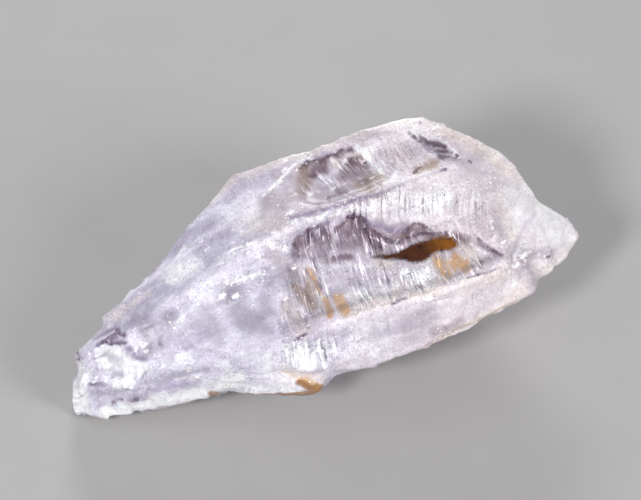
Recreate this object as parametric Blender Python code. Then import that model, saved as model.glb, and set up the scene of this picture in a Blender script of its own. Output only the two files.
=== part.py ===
"""A rough amethyst crystal lying on one of its faces, as one solid. Blender 4.5, metres, +Z up.

The crystal is lofted through the edges between its faces. Then its broken end, sunken windows,
growth steps, creases, fracture scoops and chipped edges are worked into the surface, and it is
cut flat where it rests. Lengths in this script are in mm until the finished mesh is in metres.
"""

import math

import bmesh
import bpy
import numpy as np
from mathutils import Vector, noise

MM = 0.001

# Driving dimensions of the crystal.
LEFT_END_X = -20.0
POINT_X = 19.5
RING_PITCH = 0.8
WORK_VOXEL = 0.25
FINISHED_TRIANGLES = 9200

# The edges between the crystal's faces, in order round it, each from the broken end to the point.
# Every point is (x, y, z). The two rest edges dip below the floor, where the rest face is cut flat.
CRYSTAL_EDGES = {
    "back_crest": [
        (-20, 3.0, 3.6), (-18, 3.7, 5.0), (-14.9, 4.7, 6.5), (-10.8, 6.3, 7.8), (-6.1, 8.9, 9.0),
        (-2.9, 10.5, 10.1), (2.1, 9.5, 11.4), (6.7, 9.1, 12.0), (11.3, 9.0, 12.1), (13.8, 6.7, 11.6),
        (16.3, 4.6, 10.3), (17.1, 2.9, 9.3), (17.6, 0.9, 7.9), (19.0, 0.1, 6.8), (19.6, -1.3, 6.1),
    ],
    "ledge": [
        (-20, 2.6, 3.8), (-17.5, 3.0, 5.5), (-16.3, 2.2, 6.4), (-13.3, 1.6, 8.3), (-9.2, 1.8, 9.9),
        (-4.9, 2.5, 11.0), (-0.7, 3.0, 11.8), (2.8, 2.7, 12.2), (7.3, 2.9, 12.3), (11.8, 3.2, 12.1),
        (14.2, 2.3, 11.0), (15.5, 1.4, 10.0), (17.5, -0.2, 8.0), (19.0, -0.9, 6.9), (19.5, -1.5, 6.2),
    ],
    "step_foot": [
        (-20, 2.4, 3.2), (-18.1, 2.5, 4.4), (-16.2, 1.3, 5.9), (-13.0, 0.4, 7.4), (-9.8, 0.3, 8.6),
        (-5.3, 1.5, 9.5), (-0.8, 2.5, 10.1), (3.1, 2.2, 10.6), (7.5, 0.9, 10.7), (10.7, -1.0, 10.4),
        (12.6, -2.8, 9.7), (14.8, -2.0, 8.9), (17.5, -1.6, 7.6), (19.0, -1.6, 6.6), (19.5, -1.6, 6.2),
    ],
    "sill": [
        (-20, 2.2, 2.2), (-19.0, 1.9, 2.8), (-17.5, 0.2, 3.8), (-13.8, -1.7, 5.7), (-11.0, -2.5, 6.6),
        (-4.9, -4.0, 7.8), (-1.5, -3.7, 8.4), (2.2, -4.0, 8.7), (6.3, -4.8, 9.0), (10.3, -4.9, 9.1),
        (12.6, -4.3, 8.9), (15.1, -3.4, 7.9), (17.5, -2.7, 6.9), (19.5, -1.8, 6.1),
    ],
    "front_edge": [
        (-20, 1.4, 0.5), (-19.5, 0.9, 0.6), (-17.1, -0.7, 0.7), (-13.6, -1.8, 1.5), (-9.6, -2.8, 2.5),
        (-6.4, -4.5, 2.9), (-3.1, -5.9, 3.1), (-1.7, -5.7, 3.6), (0.3, -6.1, 4.2), (5.3, -6.4, 4.8),
        (9.5, -5.7, 5.2), (13.8, -5.4, 5.6), (16.3, -3.9, 5.7), (19.5, -1.9, 5.9),
    ],
    "belly_front": [
        (-20, 1.8, 0.2), (-17, 0.0, 0.2), (-10, -1.2, 1.1), (-3, -3.9, 1.5), (3, -4.0, 2.2),
        (9, -3.2, 2.6), (13, -2.8, 3.3), (17, -2.0, 4.7), (19.5, -1.7, 5.7),
    ],
    "rest_front": [
        (-20, 2.1, 0.1), (-18, 1.3, -0.3), (-10, 0.4, -0.5), (-3, -1.9, -0.5), (3, -1.6, -0.5),
        (8.5, -0.4, -0.3), (13, -0.6, 1.8), (17, -1.0, 4.2), (19.5, -1.5, 5.6),
    ],
    "rest_back": [
        (-20, 2.6, 0.2), (-18, 2.9, -0.3), (-10, 4.4, -0.5), (-3, 6.6, -0.5), (3, 6.6, -0.5),
        (8.5, 5.2, -0.3), (13, 2.6, 1.9), (17, 0.2, 4.4), (19.5, -1.3, 5.6),
    ],
    "belly_back": [
        (-20, 2.9, 1.0), (-17, 4.4, 1.6), (-10, 6.8, 2.2), (-3, 9.8, 3.2), (5, 9.4, 3.2),
        (9, 8.6, 3.6), (13, 6.0, 4.4), (17, 1.9, 5.8), (19.5, -1.2, 5.8),
    ],
    "back_edge": [
        (-20, 3.0, 2.4), (-17, 5.0, 4.0), (-10, 7.6, 5.8), (-3, 11.0, 7.0), (5, 10.4, 8.0),
        (9, 9.9, 8.2), (13, 7.6, 8.2), (17, 2.7, 7.2), (19.5, -1.2, 6.0),
    ],
}

# Flat faces where the crystal broke off, as (outward normal, point on the face).
BROKEN_FACES = [
    ((-1.0, 0.20, 0.25), (-18.55, 2.5, 2.6)),
    ((-0.86, -0.45, 0.10), (-19.0, 1.1, 1.5)),
    ((-0.62, 0.55, 0.56), (-16.9, 4.2, 5.2)),
]

# What is sunk into the top: the outline seen from above as (x, y), the depth and the wall's width.
SUNKEN_PATCHES = {
    "upper_window": (
        [(0.0, 5.0), (1.2, 8.2), (5.8, 8.3), (8.2, 5.6), (6.8, 3.6), (3.4, 3.2), (0.9, 3.7)],
        0.55, 0.8,
    ),
    "lower_window": (
        [(-3.6, -1.0), (-1.6, 2.6), (1.8, 3.0), (4.0, 2.5), (5.4, 0.4), (7.4, 1.0), (10.0, -0.5),
         (12.7, -3.5), (10.4, -4.5), (6.2, -4.4), (2.2, -3.6), (-1.4, -3.4), (-3.9, -3.0)],
        0.75, 0.7,
    ),
    "dark_hollow": (
        [(10.4, 8.0), (11.4, 6.8), (12.9, 5.2), (12.4, 4.0), (11.0, 4.4), (10.3, 5.8)],
        0.45, 0.6,
    ),
    "broken_facet": (
        [(-17.3, 2.6), (-15.2, 1.6), (-14.3, -0.1), (-14.2, -1.2), (-15.8, -0.9), (-17.2, 0.2)],
        0.34, 0.45,
    ),
    "dark_notch": (
        [(-16.6, 3.2), (-14.9, 2.5), (-14.5, 1.5), (-15.9, 1.7)],
        0.60, 0.5,
    ),
}

# Creases and crevices, as the line each follows, its depth and its half width.
CREASES = [
    ([(-18.0, 0.4, 2.2), (-15.4, -1.0, 3.8), (-12.8, -2.1, 4.9), (-10.6, -2.6, 5.4)], 0.26, 1.1),
    ([(-5.4, -4.3, 5.0), (-3.6, -5.1, 4.5), (-2.0, -5.6, 3.6)], 0.34, 0.8),
    ([(2.6, 9.0, 11.5), (0.6, 8.6, 11.0), (-1.9, 7.0, 11.0), (-4.0, 4.9, 10.6)], 0.22, 0.9),
    ([(17.2, 0.4, 8.5), (15.2, -1.5, 9.0), (13.4, -3.2, 9.1), (13.6, -4.4, 8.0)], 0.20, 0.7),
    ([(-14.2, 3.4, 7.6), (-11.2, 3.0, 9.0), (-7.6, 3.6, 10.2)], 0.16, 1.1),
    ([(-11.0, 8.0, 4.6), (-4.0, 10.8, 5.2), (2.0, 10.6, 5.8), (8.0, 9.8, 6.2)], 0.24, 1.1),
]

# Shell-shaped fracture scoops, as (centre outside the crystal, radius of the scoop).
FRACTURE_SCOOPS = [
    ((-1.2, -7.6, 2.6), 2.4),
    ((-12.8, 8.6, 11.4), 4.6),
    ((3.5, 15.6, 5.2), 6.1),
    ((-8.2, 12.4, 3.0), 4.6),
    ((15.2, -6.6, 3.4), 2.5),
    ((11.6, 8.9, 0.2), 5.0),
    ((9.8, -7.6, 0.6), 5.2),
]

# Chips along the edges between faces.
CHIPPED_EDGES = ("back_crest", "ledge", "sill", "front_edge", "back_edge")
CHIPS_PER_EDGE = 7
CHIP_RADIUS = (1.6, 4.0)
CHIP_DEPTH = (0.06, 0.20)
CHIPS_FROM_X, CHIPS_TO_X = -15.0, 13.5

# Straight growth steps across the faces, and the low lumps all over.
STEP_PITCH = 1.5
STEP_HEIGHT = 0.14
LUMPS = [(0.14, 3.8, 2.0), (0.07, 1.4, 7.0)]


def clear_scene():
    for obj in list(bpy.data.objects):
        bpy.data.objects.remove(obj, do_unlink=True)


def edge_at(name, x):
    """The (y, z) of one crystal edge at each x."""
    points = np.array(CRYSTAL_EDGES[name], float)
    return np.interp(x, points[:, 0], points[:, 1]), np.interp(x, points[:, 0], points[:, 2])


def smooth_step(low, high, value):
    """0 below low, 1 above high and a smooth ramp between them."""
    t = np.clip((value - low) / (high - low), 0.0, 1.0)
    return t * t * (3.0 - 2.0 * t)


def noise_at(points, scale, offset=0.0):
    """Smooth noise from about -1 to 1 at each point, with features about scale mm across."""
    shift = Vector((offset, offset * 1.7, -offset))
    return np.array([noise.noise(Vector(p) / scale + shift) for p in points])


def lofted_crystal():
    """The crystal's plain faces: rings of edge points every ring pitch, bridged and capped."""
    stations = np.append(np.arange(LEFT_END_X, POINT_X, RING_PITCH), POINT_X)
    mesh = bmesh.new()
    rings = []
    for x in stations:
        places = [edge_at(name, x) for name in CRYSTAL_EDGES]
        rings.append([mesh.verts.new((x, float(y), float(z))) for y, z in places])
    count = len(CRYSTAL_EDGES)
    for near, far in zip(rings, rings[1:]):
        for i in range(count):
            j = (i + 1) % count
            mesh.faces.new((near[i], near[j], far[j], far[i]))
    mesh.faces.new(rings[0][::-1])
    mesh.faces.new(rings[-1])
    bmesh.ops.recalc_face_normals(mesh, faces=mesh.faces)
    data = bpy.data.meshes.new("crystal")
    mesh.to_mesh(data)
    mesh.free()
    obj = bpy.data.objects.new("crystal", data)
    bpy.context.scene.collection.objects.link(obj)
    return obj


def apply_modifier(obj, kind, **settings):
    """Adds one modifier and replaces the object's mesh with the result."""
    modifier = obj.modifiers.new(kind.title(), kind)
    for key, value in settings.items():
        setattr(modifier, key, value)
    graph = bpy.context.evaluated_depsgraph_get()
    made = bpy.data.meshes.new_from_object(obj.evaluated_get(graph))
    obj.modifiers.clear()
    obj.data = made


def read_vertices(mesh, attribute="co"):
    values = np.empty(len(mesh.vertices) * 3)
    mesh.vertices.foreach_get(attribute, values)
    return values.reshape(-1, 3)


def write_vertices(mesh, points):
    mesh.vertices.foreach_set("co", points.ravel())
    mesh.update()


def cut_flat(points, normal, place):
    """Brings every point outside a plane back onto it."""
    normal = np.array(normal) / np.linalg.norm(normal)
    over = np.maximum((points - np.array(place)) @ normal, 0.0)
    return points - over[:, None] * normal


def scoop_out(points, centre, radius):
    """Pushes every point inside a sphere out onto it, which leaves a shell-shaped hollow."""
    away = points - np.array(centre)
    distance = np.linalg.norm(away, axis=1)
    inside = distance < radius
    away[inside] *= (radius / distance[inside])[:, None]
    return np.array(centre) + away


def chip_scoops():
    """Small scoops at seeded places along the crystal's edges, as (centre, radius)."""
    draw = np.random.default_rng(11)
    scoops = []
    for name in CHIPPED_EDGES:
        for x in draw.uniform(CHIPS_FROM_X, CHIPS_TO_X, CHIPS_PER_EDGE):
            ring = np.array([edge_at(other, x) for other in CRYSTAL_EDGES])
            on_edge = np.array(edge_at(name, x))
            outward = on_edge - ring.mean(axis=0)
            outward /= np.linalg.norm(outward)
            radius = draw.uniform(*CHIP_RADIUS)
            depth = draw.uniform(*CHIP_DEPTH)
            y, z = on_edge + outward * (radius - depth)
            scoops.append(((x, y, z), radius))
    return scoops


def depth_inside(points, outline):
    """How far inside an outline, seen from above, each point lies. Points outside are negative."""
    x, y = points[:, 0], points[:, 1]
    nearest = np.full(len(points), np.inf)
    inside = np.zeros(len(points), bool)
    for (ax, ay), (bx, by) in zip(outline, outline[1:] + outline[:1]):
        run, rise = bx - ax, by - ay
        along = np.clip(((x - ax) * run + (y - ay) * rise) / (run * run + rise * rise), 0.0, 1.0)
        nearest = np.minimum(nearest, np.hypot(x - ax - along * run, y - ay - along * rise))
        if rise:
            crossing = ax + (y - ay) * run / rise
            inside ^= ((ay > y) != (by > y)) & (x < crossing)
    return np.where(inside, nearest, -nearest)


def distance_to_line(points, line):
    """Each point's distance to a line through several places."""
    nearest = np.full(len(points), np.inf)
    for start, end in zip(np.array(line[:-1]), np.array(line[1:])):
        span = end - start
        along = np.clip((points - start) @ span / (span @ span), 0.0, 1.0)
        gap = np.linalg.norm(points - start - along[:, None] * span, axis=1)
        nearest = np.minimum(nearest, gap)
    return nearest


def sink_depth(points, normals):
    """How far each point sinks in the windows, hollows and creases."""
    ragged = 0.55 * noise_at(points, 1.5) + 0.25 * noise_at(points, 0.6, 4.0)
    on_top = smooth_step(0.05, 0.35, normals[:, 2])
    patchy = 0.55 + 0.45 * smooth_step(-0.3, 0.4, noise_at(points, 2.0, 12.0))
    depth = np.zeros(len(points))
    for outline, sunk, wall in SUNKEN_PATCHES.values():
        inside = depth_inside(points, outline) + 0.7 * ragged
        depth = np.maximum(depth, sunk * smooth_step(-0.1, wall, inside) * on_top)
    for line, sunk, width in CREASES:
        near = distance_to_line(points, line) + 0.25 * ragged
        depth = depth + sunk * patchy * smooth_step(width, 0.0, near)
    return depth


def growth_steps(points, normals):
    """Straight uneven steps across the crystal, in patches, strongest on the steep bands."""
    along = points * (1.0, 0.0, 0.0)
    drift = 1.3 * noise_at(along, 2.6, 9.0) + 0.35 * noise_at(along, 0.9, 4.0)
    turns = (points[:, 0] + drift) / STEP_PITCH
    ramp = turns - np.floor(turns)
    patches = smooth_step(-0.35, 0.3, noise_at(points, 2.8, 5.0))
    steep = 0.25 + 0.75 * smooth_step(0.1, 0.6, np.abs(normals[:, 1]))
    return STEP_HEIGHT * (ramp - 0.5) * patches * steep


def work_surface(obj):
    """Broken faces, scoops and chips, then windows, creases, growth steps and lumps, then the rest face."""
    points = read_vertices(obj.data)
    for normal, place in BROKEN_FACES:
        points = cut_flat(points, normal, place)
    for centre, radius in FRACTURE_SCOOPS + chip_scoops():
        points = scoop_out(points, centre, radius)
    write_vertices(obj.data, points)
    normals = read_vertices(obj.data, "normal")
    rise = growth_steps(points, normals) - sink_depth(points, normals)
    for height, scale, offset in LUMPS:
        rise = rise + height * noise_at(points, scale, offset)
    rise *= smooth_step(0.0, 0.9, points[:, 2])
    points = points + rise[:, None] * normals
    write_vertices(obj.data, cut_flat(points, (0, 0, -1), (0, 0, 0)))


def finish_solid(obj):
    """Centres the crystal over the floor, makes its rest face exactly flat and scales it to metres."""
    points = read_vertices(obj.data)
    points[points[:, 2] < 0.02, 2] = 0.0
    middle = (points.min(axis=0) + points.max(axis=0)) / 2.0
    points[:, :2] -= middle[:2]
    write_vertices(obj.data, points * MM)
    print("moved by", -middle[:2])


def amethyst_material():
    material = bpy.data.materials.new("amethyst")
    material.use_nodes = True
    shader = material.node_tree.nodes["Principled BSDF"]
    shader.inputs["Base Color"].default_value = (0.76, 0.70, 0.82, 1.0)
    shader.inputs["Roughness"].default_value = 0.35
    shader.inputs["Metallic"].default_value = 0.0
    shader.inputs["IOR"].default_value = 1.544
    return material


def main():
    clear_scene()
    crystal = lofted_crystal()
    apply_modifier(crystal, "REMESH", mode="VOXEL", voxel_size=WORK_VOXEL)
    work_surface(crystal)
    crystal.data.calc_loop_triangles()
    keep = FINISHED_TRIANGLES / len(crystal.data.loop_triangles)
    apply_modifier(crystal, "DECIMATE", ratio=keep)
    finish_solid(crystal)
    crystal.data.materials.clear()
    crystal.data.materials.append(amethyst_material())
    crystal.data.set_sharp_from_angle(angle=math.radians(30))


main()
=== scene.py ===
import math

import bpy
import numpy as np
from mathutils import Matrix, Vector, kdtree, noise


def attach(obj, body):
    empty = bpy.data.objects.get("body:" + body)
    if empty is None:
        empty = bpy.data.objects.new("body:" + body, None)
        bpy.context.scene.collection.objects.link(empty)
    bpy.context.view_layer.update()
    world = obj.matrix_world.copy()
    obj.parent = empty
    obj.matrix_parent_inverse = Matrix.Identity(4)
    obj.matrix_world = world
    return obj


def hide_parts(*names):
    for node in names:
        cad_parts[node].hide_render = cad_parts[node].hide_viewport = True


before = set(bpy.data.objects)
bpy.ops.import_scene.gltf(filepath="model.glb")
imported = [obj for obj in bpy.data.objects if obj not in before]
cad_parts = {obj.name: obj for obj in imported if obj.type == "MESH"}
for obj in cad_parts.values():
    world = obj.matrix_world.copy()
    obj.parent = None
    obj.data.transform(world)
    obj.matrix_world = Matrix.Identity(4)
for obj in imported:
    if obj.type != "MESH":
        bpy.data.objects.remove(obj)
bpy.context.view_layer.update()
mm = 0.001
tableSize = 4096  # of the noise along one axis
tableStart = 1000.0  # keeps places left of the origin inside that table
farOutside = -9.0  # mm, the depth given to places on the side that faces away

# the photograph's frame and where it looks from
view = {
    "azimuth": -23.0,
    "elevation": 50.0,
    "lens": 200.0,  # mm, as the sensor
    "sensor": 36.0,
    "pixels": (641, 500),
    "pixelsPerMm": 13.6,
    "originPixel": (313.5, 328.5),  # where the crystal's origin, on the floor, shows
    "bodyHeight": 6.0,  # mm, the level where the scale holds
    "clip": (0.01, 10.0),  # metres
}


def aimFrom(azimuth, elevation):
    # the direction from the crystal towards a place, from angles in degrees
    azimuth, elevation = math.radians(azimuth), math.radians(elevation)
    flat = math.cos(elevation)
    return Vector((math.sin(azimuth) * flat, -math.cos(azimuth) * flat, math.sin(elevation)))


def viewAxes():
    # right, up and towards the camera
    azimuth = math.radians(view["azimuth"])
    back = aimFrom(view["azimuth"], view["elevation"])
    right = Vector((math.cos(azimuth), math.sin(azimuth), 0.0))
    return right, back.cross(right), back


def smoothStep(low, high, value):
    t = np.clip((value - low) / (high - low), 0.0, 1.0)
    return t * t * (3.0 - 2.0 * t)


def lumpNoise(points, size, offset=0.0):
    # smooth noise from about -1 to 1, with lumps about size mm across
    away = Vector((offset, 1.7 * offset, -offset))
    return np.array([noise.noise(Vector(p) / size + away) for p in points])


def levels(places, seed):
    # an even random level from -1 to 1 for each whole number
    table = np.random.default_rng(seed).uniform(-1.0, 1.0, tableSize)
    return table[places % tableSize]


def lineNoise(x, pitch, seed):
    # noise along one axis only, for straight growth lines
    turns = x / pitch + tableStart
    whole = np.floor(turns).astype(int)
    part = turns - whole
    part = part * part * (3.0 - 2.0 * part)
    return levels(whole, seed) * (1.0 - part) + levels(whole + 1, seed) * part


def stepNoise(x, pitch, seed):
    # flat treads of uneven width and level, as growth steps are
    uneven = 0.9 * lineNoise(x, 2.3 * pitch, seed + 1)
    return levels(np.floor(x / pitch + tableStart + uneven).astype(int), seed)


def flakes(points, pitch, tilt, seed):
    # small flat facets, each tilted its own way, with steps between them
    random = np.random.default_rng(seed)
    low, high = points.min(0) - pitch, points.max(0) + pitch
    count = int(np.prod((high - low) / pitch))
    middles = random.uniform(low, high, (count, 3))
    slopes = random.normal(0.0, tilt, (count, 3))
    tree = kdtree.KDTree(count)
    for index, middle in enumerate(middles):
        tree.insert(middle, index)
    tree.balance()
    nearest = np.array([tree.find(p)[1] for p in points])
    return ((points - middles[nearest]) * slopes[nearest]).sum(1)


def lineGap(places, line):
    # distance to a line through several places
    nearest = np.full(len(places), np.inf)
    for (ax, ay), (bx, by) in zip(line, line[1:]):
        run, rise = bx - ax, by - ay
        along = ((places[:, 0] - ax) * run + (places[:, 1] - ay) * rise) / (run * run + rise * rise)
        along = np.clip(along, 0.0, 1.0)
        gap = np.hypot(places[:, 0] - ax - along * run, places[:, 1] - ay - along * rise)
        nearest = np.minimum(nearest, gap)
    return nearest


def insideOf(places, outline):
    # how far inside an outline; negative outside
    closed = outline + outline[:1]
    inside = np.zeros(len(places), bool)
    for (ax, ay), (bx, by) in zip(closed, closed[1:]):
        if by != ay:
            crossing = ax + (places[:, 1] - ay) * (bx - ax) / (by - ay)
            inside ^= ((ay > places[:, 1]) != (by > places[:, 1])) & (places[:, 0] < crossing)
    gap = lineGap(places, closed)
    return np.where(inside, gap, -gap)


def readPoints(mesh, what="co"):
    values = np.empty(3 * len(mesh.vertices))
    mesh.vertices.foreach_get(what, values)
    return values.reshape(-1, 3)


def writePoints(mesh, points):
    mesh.vertices.foreach_set("co", points.ravel())
    mesh.update()


def addObject(name, mesh):
    piece = bpy.data.objects.new(name, mesh)
    bpy.context.scene.collection.objects.link(piece)
    return piece


def remeshed(name, mesh, grid):
    # the same closed surface on an even grid
    piece = addObject(name, mesh)
    remesh = piece.modifiers.new("Even", "REMESH")
    remesh.mode = "VOXEL"
    remesh.voxel_size = grid
    graph = bpy.context.evaluated_depsgraph_get()
    piece.data = bpy.data.meshes.new_from_object(piece.evaluated_get(graph))
    piece.modifiers.clear()
    return piece


def relax(mesh, points, shares):
    # moves each corner towards the middle of its neighbours by each share in turn
    edges = np.empty(2 * len(mesh.edges), int)
    mesh.edges.foreach_get("vertices", edges)
    first, second = edges.reshape(-1, 2).T
    count = np.bincount(first, minlength=len(points)) + np.bincount(second, minlength=len(points))
    for share in shares:
        around = np.empty_like(points)
        for axis in range(3):
            around[:, axis] = (
                np.bincount(first, points[second, axis], len(points))
                + np.bincount(second, points[first, axis], len(points))
            )
        points = points + share * (around / count[:, None] - points)
    return points


def addField(mesh, name, values):
    field = mesh.attributes.new(name, "FLOAT", "POINT")
    field.data.foreach_set("value", np.asarray(values, np.float32))


# outlines of the clear windows, as places in the photograph's frame
windows = {
    "inUpper": [
        (298, 166), (304, 160), (315, 158), (326, 154), (336, 152), (343, 148), (353, 147), (359, 156),
        (368, 161), (371, 171), (379, 175), (385, 183), (378, 194), (364, 198), (350, 197), (334, 203),
        (322, 209), (311, 207), (303, 200), (296, 190), (293, 178),
    ],
    "inLower": [
        (286, 256), (293, 241), (307, 229), (320, 224), (332, 225), (339, 226), (346, 218), (354, 216),
        (362, 218), (369, 227), (378, 233), (385, 238), (394, 238), (402, 233), (410, 225), (418, 222),
        (426, 226), (439, 230), (453, 230), (466, 233), (477, 240), (490, 249), (502, 257), (497, 268),
        (482, 275), (461, 280), (445, 284), (426, 292), (404, 299), (391, 304), (366, 309), (346, 316),
        (324, 323), (308, 332), (296, 338), (284, 341), (278, 322), (280, 300), (288, 280),
    ],
    "inHollow": [
        (409, 131), (416, 132), (426, 138), (441, 139), (450, 147), (460, 157), (456, 162), (441, 162),
        (429, 157), (421, 148), (415, 142),
    ],
}

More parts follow.
